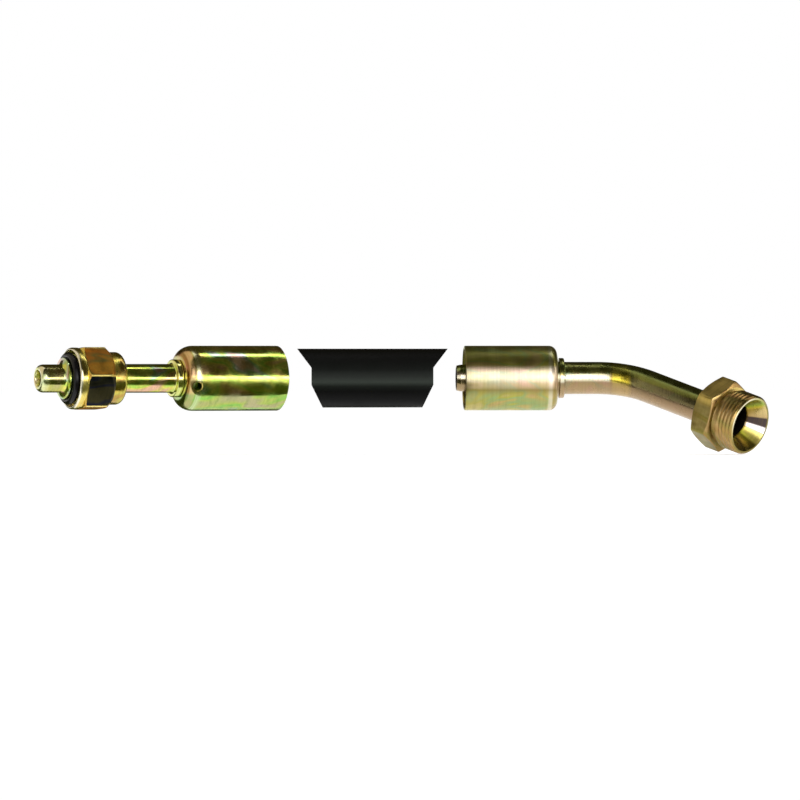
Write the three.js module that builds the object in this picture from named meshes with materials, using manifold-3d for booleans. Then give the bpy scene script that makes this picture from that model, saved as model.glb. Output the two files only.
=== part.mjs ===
// Hydraulic hose assembly, laid out ready to push together: a straight fitting with a
// swivel nut, a short length of hose, and a 45 degree fitting with a male cone end.
// Millimetres, +Z up. The origin is on the hose's axis at mid length, with +X along the
// hose there. The hose bends gently in the XY plane, and both fittings lie on its arc.

import * as THREE from 'three';
import { mergeVertices } from 'three/addons/utils/BufferGeometryUtils.js';
import Module from 'manifold-3d';

const wasm = await Module();
wasm.setup();

// ---- Driving dimensions -------------------------------------------------------------

// The line that everything lies on
const bendLineRadius = 300;        // radius of the hose's own gentle bend
const leftMouthStation = 41.9;     // hose middle to the left ferrule's mouth, on the arc
const rightMouthStation = 39.0;    // hose middle to the right ferrule's mouth, on the arc
const engagedLength = 28;          // how deep the hose goes in when it is pushed home
const pushOnClearance = 0.3;      // round the hose in a ferrule, and round a stem in its bore

// Hose
const hoseBore = 12.7;
const innerTubeWall = 1.7;
const barrierWall = 0.4;
const cushionWall = 1.2;
const braidWall = 0.8;
const coverWall = 1.5;
const layerGap = 0.1;              // between one bonded layer and the next
const hoseTopHalf = 31.6;          // hose middle to the cut's end at the top
const hoseWaistHalf = 25.5;        // to the upright stretch of the cut
const hoseBottomHalf = 20.9;       // to the cut's end at the bottom
const cutUprightTop = 4.4;         // height of the upright stretch's ends
const cutUprightBottom = -2.8;
const cutTurnDeg = -13.3;          // the cuts run across the hose along this heading
const hoseStockHalf = 36;          // half the length before it is cut, past both cuts
const cutBlockDepth = 70;          // the cutting block, right across the hose and past it
const cutBlockOver = 6;            // and past its top and bottom

// Ferrules
const ferruleWall = 0.95;
const ferruleEndWall = 1.9;
const leftFerruleLength = 45.0;
const leftShoulderLength = 6.5;    // the rounded shoulder, along the axis
const leftShoulderDrop = 5.2;      // how far its rounding comes in
const rightFerruleLength = 39.1;
const rightShoulderLength = 3.4;
const rightShoulderDrop = 3.6;
const mouthBreak = 0.35;           // the edge broken at each mouth
const sightHoleDiameter = 3.6;
const sightHoleStation = 41.2;     // from the left ferrule's mouth
const sightHoleDropDeg = 15;       // below the level, on the near side

// Stems
const stemBore = 8.8;
const barbHeight = 0.42;
const barbPitch = 6.2;
const barbCount = 4;
const noseTaper = 1.6;             // lead-in at a stem's hose end
const neckStep = 0.9;              // the stem's neck in the ferrule's end wall, over the barbs
const flangeRise = 1.5;            // the stem's inner flange, over the neck
const flangeLength = 1.8;
const seatGap = 0.25;              // between a ferrule and the stem that it is locked on

// Left stem, outward from its collar
const leftNoseInset = 2.0;         // the stem's hose end lies this far inside the mouth
const leftTubeDiameter = 12.0;
const leftCollarDiameter = 15.0;
const leftCollarLength = 2.6;
const leftTubeLength = 42.4;       // collar to the rear sealing bead
const rearBeadDiameter = 20.6;
const rearBeadLength = 2.2;
const ringSection = 3.0;           // O-ring
const ringDiameter = 21.8;
const ringSideGap = 0.15;
const frontBeadDiameter = 17.2;
const frontBeadLength = 0.9;
const beadFlareLength = 3.4;       // the hollow curve from the bead down to the pilot
const pilotDiameter = 11.7;
const pilotLength = 7.7;
const pilotNoseLength = 2.4;       // the rounded tip
const tipBore = 6.4;               // the narrower opening at the tip
const tipBoreLength = 5;
const pilotNoseDrop = 1.6;

// Swivel nut
const nutFrontLength = 3.3;
const nutHexLength = 12.7;
const nutRearLength = 6.3;
const nutHexAcrossFlats = 25;
const nutFrontDiameter = 25.7;
const nutRearDiameter = 21.9;
const nutRearRound = 2.4;
const nutHexTurnDeg = 5;           // a corner faces the near side, this far above the level
const nutHexChamferDeg = 30;
const nutSetback = 2.3;            // the nut's rim behind the front bead
const nutThreadDiameter = 22.5;    // minor diameter of the M24 x 1.5 thread
const nutRim = 0.75;               // flat left at the rim
const nutMouthChamfer = 0.55;
const nutSeatInset = 4.3;          // the bead's seat, ahead of the rear collar
const nutRunningGap = 0.3;

// Right stem and bent tube
const rightNoseProud = 3.3;        // the stem's hose end stands out of the mouth
const rightTubeDiameter = 13.6;
const rightCollarDiameter = 16.9;
const rightCollarGap = 0.8;        // bare neck between the ferrule and the collar
const rightCollarLength = 2.2;
const collarChamfer = 0.5;
const rightStraightLength = 13.9;  // collar to the start of the bend
const tubeBendRadius = 30;
const tubeBendDeg = 45;
const tubeRollDeg = 24;            // the bend's plane, below the level on the near side
const rightLegLength = 35.1;       // end of the bend to the back of the hexagon

// Male adapter
const adapterHexAcrossFlats = 27;
const adapterHexLength = 9.4;
const adapterHexTurnDeg = 12;
const adapterThreadDiameter = 25.4;
const adapterThreadLength = 11.5;  // hexagon to the end face, with the relief groove
const reliefWidth = 2.4;
const reliefDepth = 1.1;
const adapterEndChamfer = 0.8;
const adapterRim = 0.7;            // flat left at the end face
const coneHalfAngleDeg = 30;
const throatDiameter = 10.8;
const tubeStopLength = 2.0;        // the throat, between the cone and the tube's end
const adapterHexChamferDeg = 20;
const brazeWidth = 1.3;            // the filler ring in the socket's countersink
const brazeGap = 0.15;

// Fineness of the round surfaces
const roundSides = 32;
const stemSides = 28;
const hoseSides = 24;
const hoseSteps = 4;
const ringSides = 8;
const bendSteps = 6;
const arcSteps = 4;

// Overlaps that leave no trace in the finished solids
const weld = 0.3;                  // how far joined or cut shapes run into each other
const pith = 1;                    // radius of the core that a bore then takes out

// ---- Sizes that follow --------------------------------------------------------------

const hoseWalls = {
  hose_inner_tube: innerTubeWall,
  hose_barrier: barrierWall,
  hose_cushion: cushionWall,
  hose_braid: braidWall,
  hose_cover: coverWall,
};
const wallList = Object.values(hoseWalls);
const hoseRadius = hoseBore / 2 + wallList.reduce((sum, wall) => sum + wall, 0)
  + layerGap * (wallList.length - 1);
const ferruleInner = hoseRadius + pushOnClearance;
const ferruleOuter = ferruleInner + ferruleWall;
const barbCrest = hoseBore / 2 - pushOnClearance;
const barbRoot = barbCrest - barbHeight;
const neckRadius = barbCrest + neckStep;
const flangeRadius = neckRadius + flangeRise;
const boreRadius = stemBore / 2;

const degrees = THREE.MathUtils.degToRad;

// ---- Shapes -------------------------------------------------------------------------

// Points [along, radius] of an elliptical quarter turn from one point to another. The
// curve leaves the first point along the axis and meets the second square to it.
function quarterRound(from, to, steps = arcSteps) {
  const points = [];
  for (let i = 1; i <= steps; i++) {
    const angle = (i / steps) * Math.PI / 2;
    points.push([
      from[0] + (to[0] - from[0]) * Math.sin(angle),
      to[1] + (from[1] - to[1]) * Math.cos(angle),
    ]);
  }
  return points;
}

// A closed profile of [along, radius] points turned about the X axis.
function turned(profile, sides = roundSides) {
  const closed = [...profile, profile[0]].map(([along, radius]) => new THREE.Vector2(radius, along));
  return new THREE.LatheGeometry(closed, sides).rotateZ(-Math.PI / 2);
}

function polygonPoints(radius, sides, turn = 0) {
  return Array.from({ length: sides }, (_, i) => {
    const angle = turn + (i / sides) * 2 * Math.PI;
    return new THREE.Vector2(radius * Math.cos(angle), radius * Math.sin(angle));
  });
}

// A prism of a flat outline, from one place on the X axis to another. The outline's own
// x and y become the prism's Y and Z.
function prism(outline, start, end) {
  const options = { depth: end - start, bevelEnabled: false, steps: 1 };
  const geometry = new THREE.ExtrudeGeometry(new THREE.Shape(outline), options);
  geometry.applyMatrix4(new THREE.Matrix4().set(
    0, 0, 1, start,
    1, 0, 0, 0,
    0, 1, 0, 0,
    0, 0, 0, 1,
  ));
  return geometry;
}

// A line made of known stations, so that a sweep has a section at each of them.
class StationLine extends THREE.Curve {
  constructor(stations) {
    super();
    this.stations = stations;
  }

  at(fraction) {
    return this.stations[Math.round(fraction * (this.stations.length - 1))];
  }

  getPointAt(fraction) {
    return this.at(fraction).point.clone();
  }

  getTangentAt(fraction) {
    return this.at(fraction).tangent.clone();
  }
}

function swept(line, radius, sides, innerRadius = 0) {
  const shape = new THREE.Shape(polygonPoints(radius, sides));
  if (innerRadius > 0) shape.holes.push(new THREE.Path(polygonPoints(innerRadius, sides)));
  return new THREE.ExtrudeGeometry(shape, {
    steps: line.stations.length - 1,
    extrudePath: line,
    bevelEnabled: false,
  });
}

// ---- Solids -------------------------------------------------------------------------

function solidOf(geometry) {
  const bare = geometry.clone();
  bare.deleteAttribute('normal');
  bare.deleteAttribute('uv');
  const merged = mergeVertices(bare);
  return new wasm.Manifold(new wasm.Mesh({
    numProp: 3,
    vertProperties: Float32Array.from(merged.attributes.position.array),
    triVerts: Uint32Array.from(merged.index.array),
  }));
}

function geometryOf(solid) {
  const mesh = solid.getMesh();
  const geometry = new THREE.BufferGeometry();
  geometry.setAttribute('position', new THREE.BufferAttribute(mesh.vertProperties, 3));
  geometry.setIndex(new THREE.BufferAttribute(mesh.triVerts, 1));
  geometry.computeVertexNormals();
  return geometry;
}

// ---- Materials ----------------------------------------------------------------------

function zincYellow(color) {
  return new THREE.MeshStandardMaterial({ color, roughness: 0.28, metalness: 1 });
}

function rubber(color, roughness = 0.75) {
  return new THREE.MeshStandardMaterial({ color, roughness, metalness: 0 });
}

const finishes = {
  olivePlating: zincYellow(0x9c9a2e),
  khakiPlating: zincYellow(0xa59c5c),
  brazeAlloy: new THREE.MeshStandardMaterial({ color: 0xc9a24a, roughness: 0.4, metalness: 1 }),
  blackRubber: rubber(0x0f120f),
  darkRubber: rubber(0x1b1c1b),
  nylon: rubber(0xb9b39c, 0.5),
  yarn: rubber(0x8d8a7c, 0.9),
};

function piece(name, geometry, finish) {
  const mesh = new THREE.Mesh(geometry, finish);
  mesh.name = name;
  return mesh;
}

// ---- Hose ---------------------------------------------------------------------------

function hoseLine() {
  const halfAngle = hoseStockHalf / bendLineRadius;
  const stations = [];
  for (let i = 0; i <= hoseSteps; i++) {
    const angle = -halfAngle + (2 * halfAngle * i) / hoseSteps;
    stations.push({
      point: new THREE.Vector3(
        bendLineRadius * Math.sin(angle),
        bendLineRadius * (Math.cos(angle) - 1),
        0,
      ),
      tangent: new THREE.Vector3(Math.cos(angle), -Math.sin(angle), 0),
    });
  }
  return new StationLine(stations);
}

// The side view of the hose with its two slanted cuts, as a block that runs right across.
function hoseBlock() {
  const top = hoseRadius;
  const slope = (hoseTopHalf - hoseWaistHalf) / (top - cutUprightTop);
  const underSlope = (hoseWaistHalf - hoseBottomHalf) / (top + cutUprightBottom);
  const rightEdge = [
    [hoseBottomHalf - cutBlockOver * underSlope, -top - cutBlockOver],
    [hoseWaistHalf, cutUprightBottom],
    [hoseWaistHalf, cutUprightTop],
    [hoseTopHalf + cutBlockOver * slope, top + cutBlockOver],
  ];
  const leftEdge = rightEdge.map(([x, z]) => [-x, z]).reverse();
  const outline = [...rightEdge, ...leftEdge].map(([x, z]) => new THREE.Vector2(x, z));
  const block = new THREE.ExtrudeGeometry(new THREE.Shape(outline), {
    depth: cutBlockDepth,
    bevelEnabled: false,
  });
  block.translate(0, 0, -cutBlockDepth / 2);
  block.rotateX(Math.PI / 2);
  block.rotateZ(degrees(cutTurnDeg));
  return solidOf(block);
}

const hoseFinishes = {
  hose_inner_tube: finishes.darkRubber,
  hose_barrier: finishes.nylon,
  hose_cushion: finishes.darkRubber,
  hose_braid: finishes.yarn,
  hose_cover: finishes.blackRubber,
};

function hose() {
  const group = new THREE.Group();
  const line = hoseLine();
  const block = hoseBlock();
  let inner = hoseBore / 2;
  for (const [name, wall] of Object.entries(hoseWalls)) {
    const layer = solidOf(swept(line, inner + wall, hoseSides, inner)).intersect(block);
    group.add(piece(name, geometryOf(layer), hoseFinishes[name]));
    inner += wall + layerGap;
  }
  return group;
}

// ---- Parts that both fittings share -------------------------------------------------

// A fitting's own frame: its X axis runs outward from the ferrule's mouth, which is at 0.
// The axis touches the hose's arc half way down the engaged length, drawn in a little so
// that the bent hose keeps an even clearance in the straight ferrule.
function seatedOnArc(mouthStation, side) {
  const touch = engagedLength / 2;
  const angle = (side * (mouthStation + touch)) / bendLineRadius;
  const drawIn = touch ** 2 / (4 * bendLineRadius);
  const group = new THREE.Group();
  group.rotation.z = side > 0 ? -angle : Math.PI - angle;
  group.position.set(
    (bendLineRadius - drawIn) * Math.sin(angle),
    (bendLineRadius - drawIn) * Math.cos(angle) - bendLineRadius,
    0,
  );
  const inner = new THREE.Group();
  inner.position.x = -touch;
  group.add(inner);
  return { group, inner };
}

// The barbed stem, outer points only, from its nose to the ferrule's end wall.
function barbedStem(nose, ferruleLength) {
  const points = [[nose, barbRoot - barbHeight], [nose + noseTaper, barbRoot]];
  const first = nose + noseTaper + barbPitch;
  for (let i = 0; i < barbCount; i++) {
    const crest = first + i * barbPitch;
    points.push([crest - barbPitch + barbHeight, barbRoot], [crest, barbCrest], [crest, barbRoot]);
  }
  const floor = ferruleLength - ferruleEndWall;
  const flangeBack = floor - seatGap;
  points.push(
    [flangeBack - flangeLength - (flangeRadius - barbRoot), barbRoot],
    [flangeBack - flangeLength, flangeRadius],
    [flangeBack, flangeRadius],
    [flangeBack, neckRadius],
  );
  return points;
}

// A ferrule: straight wall, rounded shoulder, and an end wall that locks on the neck.
function ferrule(length, shoulderLength, shoulderDrop) {
  const hole = neckRadius + seatGap;
  const shoulderStart = length - shoulderLength;
  const floor = length - ferruleEndWall;
  const innerRise = Math.max(shoulderLength - ferruleEndWall, ferruleWall);
  const innerDrop = Math.max(shoulderDrop - ferruleWall, ferruleWall);
  return [
    [0, ferruleInner + mouthBreak],
    [0, ferruleOuter - mouthBreak],
    [mouthBreak, ferruleOuter],
    [shoulderStart, ferruleOuter],
    ...quarterRound([shoulderStart, ferruleOuter], [length, ferruleOuter - shoulderDrop]),
    [length, hole],
    [floor, hole],
    ...quarterRound([floor - innerRise, ferruleInner], [floor, ferruleInner - innerDrop]).reverse(),
    [floor - innerRise, ferruleInner],
    [mouthBreak, ferruleInner],
  ];
}

// A hexagon about the X axis with both ends turned to a cone, so each flat ends in arcs.
function hexagon(start, length, acrossFlats, turnDeg, chamferDeg) {
  const corner = acrossFlats / Math.sqrt(3);
  const flat = acrossFlats / 2;
  const rise = (corner - flat) * Math.tan(degrees(chamferDeg));
  const block = prism(polygonPoints(corner, 6, degrees(turnDeg)), start, start + length);
  const barrel = turned([
    [start - rise, flat / 2],
    [start - rise, flat - (corner - flat)],
    [start + rise, corner],
    [start + length - rise, corner],
    [start + length + rise, flat - (corner - flat)],
    [start + length + rise, flat / 2],
  ]);
  return solidOf(block).intersect(solidOf(barrel));
}

// ---- Left fitting: straight, with a swivel nut --------------------------------------

const leftCollarStart = leftFerruleLength + seatGap;
const leftCollarEnd = leftCollarStart + leftCollarLength;
const rearBeadStart = leftCollarEnd + leftTubeLength;
const grooveStart = rearBeadStart + rearBeadLength;
const frontBeadStart = grooveStart + ringSection + 2 * ringSideGap;
const frontBeadEnd = frontBeadStart + frontBeadLength;
const pilotStart = frontBeadEnd + beadFlareLength;
const pilotEnd = pilotStart + pilotLength;
const ringCentre = grooveStart + ringSideGap + ringSection / 2;
const nutRimStation = frontBeadStart - nutSetback;
const nutRearStation = nutRimStation - nutFrontLength - nutHexLength - nutRearLength;

function leftStem() {
  const tube = leftTubeDiameter / 2;
  const collar = leftCollarDiameter / 2;
  const pilot = pilotDiameter / 2;
  const grooveRadius = ringDiameter / 2 - ringSection - ringSideGap;
  const flare = quarterRound([frontBeadEnd, frontBeadDiameter / 2], [pilotStart, pilot])
    .map(([along, radius]) => [
      frontBeadEnd + pilotStart - along,
      frontBeadDiameter / 2 + pilot - radius,
    ])
    .reverse();
  const bead = rearBeadDiameter / 2;
  const beadRound = rearBeadLength / 4;
  const profile = [
    [leftNoseInset, boreRadius],
    ...barbedStem(leftNoseInset, leftFerruleLength),
    [leftCollarStart, neckRadius],
    [leftCollarStart, collar - collarChamfer],
    [leftCollarStart + collarChamfer, collar],
    [leftCollarEnd - collarChamfer, collar],
    [leftCollarEnd, collar - collarChamfer],
    [leftCollarEnd, tube],
    [rearBeadStart, tube],
    [rearBeadStart, bead - beadRound],
    [rearBeadStart + beadRound, bead],
    [grooveStart - beadRound, bead],
    [grooveStart, bead - beadRound],
    [grooveStart, grooveRadius],
    [frontBeadStart, grooveRadius],
    [frontBeadStart, frontBeadDiameter / 2],
    ...flare,
    [pilotStart, pilot],
    ...quarterRound([pilotEnd - pilotNoseLength, pilot], [pilotEnd, pilot - pilotNoseDrop]),
    [pilotEnd, tipBore / 2],
    [pilotEnd - tipBoreLength, tipBore / 2],
    [pilotEnd - tipBoreLength, boreRadius],
  ];
  return turned(profile, stemSides);
}

function leftRing() {
  const centre = ringDiameter / 2 - ringSection / 2;
  const profile = Array.from({ length: ringSides }, (_, i) => {
    const angle = -((i + 0.5) / ringSides) * 2 * Math.PI;
    return [
      ringCentre + (ringSection / 2) * Math.cos(angle),
      centre + (ringSection / 2) * Math.sin(angle),
    ];
  });
  return turned(profile, stemSides);
}

function swivelNut() {
  const hexStart = nutRearStation + nutRearLength;
  const hexEnd = hexStart + nutHexLength;
  const bore = leftTubeDiameter / 2 + nutRunningGap;
  const thread = nutThreadDiameter / 2;
  const core = nutHexAcrossFlats / 2 - nutRim;
  const cavityStart = hexStart + nutSeatInset;
  const cavityTaper = (thread - bore) / 2;
  const front = nutFrontDiameter / 2;
  const rear = nutRearDiameter / 2;
  const collars = turned([
    [nutRearStation, pith],
    [nutRearStation, rear - nutRearRound],
    ...quarterRound([nutRearStation + nutRearRound, rear], [nutRearStation, rear - nutRearRound])
      .reverse()
      .slice(1),
    [nutRearStation + nutRearRound, rear],
    [hexStart + weld, rear],
    [hexStart + weld, core],
    [hexEnd - weld, core],
    [hexEnd - weld, front],
    [nutRimStation - nutRim / 2, front],
    [nutRimStation, front - nutRim / 2],
    [nutRimStation, pith],
  ]);
  const inside = turned([
    [nutRearStation - weld, pith / 2],
    [nutRearStation - weld, bore],
    [cavityStart, bore],
    [cavityStart, thread - cavityTaper],
    [cavityStart + cavityTaper, thread],
    [nutRimStation - nutMouthChamfer, thread],
    [nutRimStation + weld, thread + nutMouthChamfer + weld],
    [nutRimStation + weld, pith / 2],
  ]);
  const hex = hexagon(hexStart, nutHexLength, nutHexAcrossFlats, nutHexTurnDeg, nutHexChamferDeg);
  return geometryOf(hex.add(solidOf(collars)).subtract(solidOf(inside)));
}

function leftFerrule() {
  const shell = turned(ferrule(leftFerruleLength, leftShoulderLength, leftShoulderDrop));
  const drill = new THREE.CylinderGeometry(
    sightHoleDiameter / 2,
    sightHoleDiameter / 2,
    ferruleOuter,
    2 * ringSides,
  );
  drill.translate(0, ferruleOuter, 0);
  drill.rotateX(-degrees(sightHoleDropDeg));
  drill.translate(sightHoleStation, 0, 0);
  return geometryOf(solidOf(shell).subtract(solidOf(drill)));
}

function leftFitting() {
  const { group, inner } = seatedOnArc(leftMouthStation, -1);
  inner.add(
    piece('left_stem', leftStem(), finishes.olivePlating),
    piece('left_oring', leftRing(), finishes.blackRubber),
    piece('left_swivel_nut', swivelNut(), finishes.olivePlating),
    piece('left_ferrule', leftFerrule(), finishes.olivePlating),
  );
  return group;
}

// ---- Right fitting: 45 degree tube with a male cone end -----------------------------

const rightCollarStart = rightFerruleLength + rightCollarGap;
const rightCollarEnd = rightCollarStart + rightCollarLength;
const bendStart = rightCollarEnd + rightStraightLength;
const bendAngle = degrees(tubeBendDeg);
const coneMouth = adapterThreadDiameter / 2 - adapterEndChamfer - adapterRim;
const coneDepth = (coneMouth - throatDiameter / 2) / Math.tan(degrees(coneHalfAngleDeg));
const adapterLength = adapterHexLength + adapterThreadLength;
const socketDepth = adapterLength - coneDepth - tubeStopLength;

// Point and heading on the bent tube's centre line, in the bend's own plane. The tube
// runs along X and turns towards -Y.
function tubeStation(angle, beyond = 0) {
  const tangent = new THREE.Vector3(Math.cos(angle), -Math.sin(angle), 0);
  const point = new THREE.Vector3(
    bendStart + tubeBendRadius * Math.sin(angle),
    -tubeBendRadius * (1 - Math.cos(angle)),
    0,
  );
  return { point: point.addScaledVector(tangent, beyond), tangent };
}

function tubeLine(startBefore, endBeyond) {
  const stations = [tubeStation(0, startBefore - bendStart)];
  for (let i = 0; i <= bendSteps; i++) {
    stations.push(tubeStation((bendAngle * i) / bendSteps));
  }
  stations.push(tubeStation(bendAngle, endBeyond));
  return new StationLine(stations);
}

function rightStem() {
  const tube = rightTubeDiameter / 2;
  const collar = rightCollarDiameter / 2;
  const rootEnd = (rightCollarStart + rightCollarEnd) / 2;
  const legEnd = rightLegLength + socketDepth - brazeGap;
  const head = turned([
    [-rightNoseProud, pith],
    ...barbedStem(-rightNoseProud, rightFerruleLength),
    [rightCollarStart, neckRadius],
    [rightCollarStart, collar],
    [rightCollarEnd - collarChamfer, collar],
    [rightCollarEnd, collar - collarChamfer],
    [rightCollarEnd, pith],
  ], stemSides);
  const rod = swept(tubeLine(rootEnd, legEnd), tube, stemSides);
  const bore = swept(tubeLine(-rightNoseProud - weld, legEnd + weld), boreRadius, stemSides);
  return geometryOf(solidOf(head).add(solidOf(rod)).subtract(solidOf(bore)));
}

function maleAdapter() {
  const thread = adapterThreadDiameter / 2;
  const relief = thread - reliefDepth;
  const socket = rightTubeDiameter / 2 + brazeGap;
  const sink = socket + brazeWidth + brazeGap;
  const throat = throatDiameter / 2;
  const reliefEnd = adapterHexLength + reliefWidth;
  const coneStart = adapterLength - coneDepth;
  const coneOver = weld * Math.tan(degrees(coneHalfAngleDeg));
  const barrel = turned([
    [adapterHexLength / 2, pith],
    [adapterHexLength / 2, relief],
    [reliefEnd - reliefDepth / 2, relief],
    [reliefEnd + reliefDepth / 2, thread],
    [adapterLength - adapterEndChamfer, thread],
    [adapterLength, thread - adapterEndChamfer],
    [adapterLength, pith],
  ]);
  const inside = turned([
    [-weld, pith / 2],
    [-weld, sink + weld],
    [brazeWidth + brazeGap, socket],
    [socketDepth, socket],
    [socketDepth, throat],
    [coneStart, throat],
    [adapterLength + weld, coneMouth + coneOver],
    [adapterLength + weld, pith / 2],
  ]);
  const hex = hexagon(
    0,
    adapterHexLength,
    adapterHexAcrossFlats,
    adapterHexTurnDeg,
    adapterHexChamferDeg,
  );
  return geometryOf(hex.add(solidOf(barrel)).subtract(solidOf(inside)));
}

function brazeRing() {
  const inner = rightTubeDiameter / 2 + brazeGap;
  return turned([
    [brazeGap, inner],
    [brazeGap, inner + brazeWidth - brazeGap],
    [brazeWidth, inner],
  ]);
}

function rightFitting() {
  const { group, inner } = seatedOnArc(rightMouthStation, 1);
  const bent = new THREE.Group();
  bent.rotation.x = degrees(tubeRollDeg);
  const legEnd = tubeStation(bendAngle, rightLegLength);
  const end = new THREE.Group();
  end.position.copy(legEnd.point);
  end.rotation.z = -bendAngle;
  end.add(
    piece('right_male_adapter', maleAdapter(), finishes.khakiPlating),
    piece('right_braze_ring', brazeRing(), finishes.brazeAlloy),
  );
  bent.add(piece('right_stem', rightStem(), finishes.khakiPlating), end);
  const shell = turned(ferrule(rightFerruleLength, rightShoulderLength, rightShoulderDrop));
  inner.add(piece('right_ferrule', shell, finishes.khakiPlating), bent);
  return group;
}

// ---- The assembly -------------------------------------------------------------------

const assembly = new THREE.Group();
assembly.add(hose(), leftFitting(), rightFitting());

export default assembly;
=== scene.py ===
# Looks for the hydraulic hose assembly: finer turned, swept and threaded pieces that stand
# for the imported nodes, with procedural plating and rubber, a studio and the camera.
import math
from collections import namedtuple

import bpy
import numpy as np
from mathutils import Matrix, Vector

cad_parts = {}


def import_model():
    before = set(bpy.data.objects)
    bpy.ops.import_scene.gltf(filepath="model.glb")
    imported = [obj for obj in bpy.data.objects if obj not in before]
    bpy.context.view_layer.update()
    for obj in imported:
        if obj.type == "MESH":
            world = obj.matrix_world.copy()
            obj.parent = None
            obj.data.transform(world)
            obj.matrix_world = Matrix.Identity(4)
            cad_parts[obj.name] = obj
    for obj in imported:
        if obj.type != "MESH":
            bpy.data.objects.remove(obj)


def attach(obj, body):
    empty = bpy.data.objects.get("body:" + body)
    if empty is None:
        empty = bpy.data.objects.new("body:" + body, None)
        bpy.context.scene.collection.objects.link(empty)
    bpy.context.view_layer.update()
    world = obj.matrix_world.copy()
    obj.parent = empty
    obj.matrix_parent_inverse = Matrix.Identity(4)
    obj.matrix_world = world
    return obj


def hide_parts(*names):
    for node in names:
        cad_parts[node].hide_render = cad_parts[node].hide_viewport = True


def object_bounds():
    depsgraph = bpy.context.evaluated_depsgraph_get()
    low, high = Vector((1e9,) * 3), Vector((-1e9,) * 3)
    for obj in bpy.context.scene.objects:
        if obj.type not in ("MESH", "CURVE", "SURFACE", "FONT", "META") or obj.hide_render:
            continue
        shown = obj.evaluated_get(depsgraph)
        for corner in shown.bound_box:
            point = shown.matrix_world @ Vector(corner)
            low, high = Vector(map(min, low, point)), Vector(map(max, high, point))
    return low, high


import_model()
cad_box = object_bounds()
MM = 0.001

# ---- Sizes, in millimetres ---------------------------------------------------------------
# They are the CAD part's, but for the left collar's radius, the front bead's flare, the
# pilot's length and the adapter's throat, which follow the photograph more closely.
BEND_R = 300.0
LEFT_MOUTH, RIGHT_MOUTH = 41.9, 39.0
TOUCH = 14.0
HOSE_BORE_R = 6.35
LAYERS = [
    ("hose_inner_tube", 1.7),
    ("hose_barrier", 0.4),
    ("hose_cushion", 1.2),
    ("hose_braid", 0.8),
    ("hose_cover", 1.5),
]
LAYER_GAP = 0.1
HOSE_TOP, HOSE_WAIST, HOSE_BOTTOM = 31.6, 25.5, 20.9
CUT_TOP, CUT_BOTTOM = 4.4, -2.8
VIEW_TURN = -13.3  # degrees: the camera's heading, which sees the hose's cuts edge-on
HOSE_R = HOSE_BORE_R + sum(wall for _, wall in LAYERS) + LAYER_GAP * (len(LAYERS) - 1)
FERRULE_WALL, FERRULE_END = 0.95, 1.9
FERRULE_IN = HOSE_R + 0.3
FERRULE_OUT = FERRULE_IN + FERRULE_WALL
BARBS, BARB_PITCH, BARB_DEPTH, BARB_LAND = 4, 6.2, 0.42, 0.42
CREST = HOSE_BORE_R - 0.3
ROOT = CREST - BARB_DEPTH
NOSE_LEAD = 1.6
NECK = CREST + 0.9
FLANGE, FLANGE_LEN = NECK + 1.5, 1.8
BORE = 4.4
SEAT = 0.25

# The left fitting. Stations count outward from its ferrule's mouth.
L_NOSE = 2.0
L_LEN, L_SHOULDER, L_DROP = 45.0, 6.5, 5.2
L_TUBE = 6.0
L_COLLAR, L_COLLAR_LEN = 7.9, 2.6
L_COLLAR_AT = L_LEN + SEAT
L_TUBE_AT = L_COLLAR_AT + L_COLLAR_LEN
REAR_BEAD = L_TUBE_AT + 42.4
BEAD_R, BEAD_LEN = 10.3, 2.2
GROOVE = REAR_BEAD + BEAD_LEN
RING_R, RING_T, RING_PLAY = 10.9, 3.0, 0.15
GROOVE_R = 7.75
FRONT_BEAD = GROOVE + RING_T + 2 * RING_PLAY
FRONT_R, FRONT_LEN, FLARE = 8.6, 0.9, 1.7
PILOT_R, PILOT_LEN = 5.85, 9.4
PILOT_AT = FRONT_BEAD + FRONT_LEN + FLARE
PILOT_END = PILOT_AT + PILOT_LEN
TIP_BORE, TIP_LEN = 3.2, 5
SIGHT_AT, SIGHT_TURN = 41.2, 15
SIGHT_R, SIGHT_RIM = 1.8, 2.15

NUT_RIM = FRONT_BEAD - 2.3
NUT_FRONT, NUT_HEX, NUT_REAR = 3.3, 12.7, 6.3
NUT_HEX_END = NUT_RIM - NUT_FRONT
NUT_HEX_AT = NUT_HEX_END - NUT_HEX
NUT_BACK = NUT_HEX_AT - NUT_REAR
NUT_FLAT, NUT_FRONT_R, NUT_REAR_R, NUT_TURN = 12.5, 12.85, 10.95, 5.0
NUT_REAR_ROUND, NUT_RIM_ROUND = 2.4, 0.75
NUT_THREAD_R, NUT_THREAD_RISE, NUT_PITCH = 11.62, 0.37, 1.5
NUT_BORE = 6.3
NUT_REAR_CHAMFER, NUT_FRONT_CHAMFER = (11.7, 1.1), (13.0, 0.75)  # inner radius, slope

# The right fitting, counted in the same way. The adapter has stations of its own.
R_LEN, R_SHOULDER, R_DROP = 39.1, 3.4, 3.6
R_NOSE = 3.3
R_TUBE = 6.8
R_COLLAR, R_COLLAR_LEN = 8.45, 2.2
R_COLLAR_AT = R_LEN + 0.8
R_TUBE_AT = R_COLLAR_AT + R_COLLAR_LEN
BEND_AT = R_TUBE_AT + 13.9
TUBE_BEND_R, TUBE_BEND, TUBE_ROLL = 30.0, math.radians(45), math.radians(24)
LEG = 35.1

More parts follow.
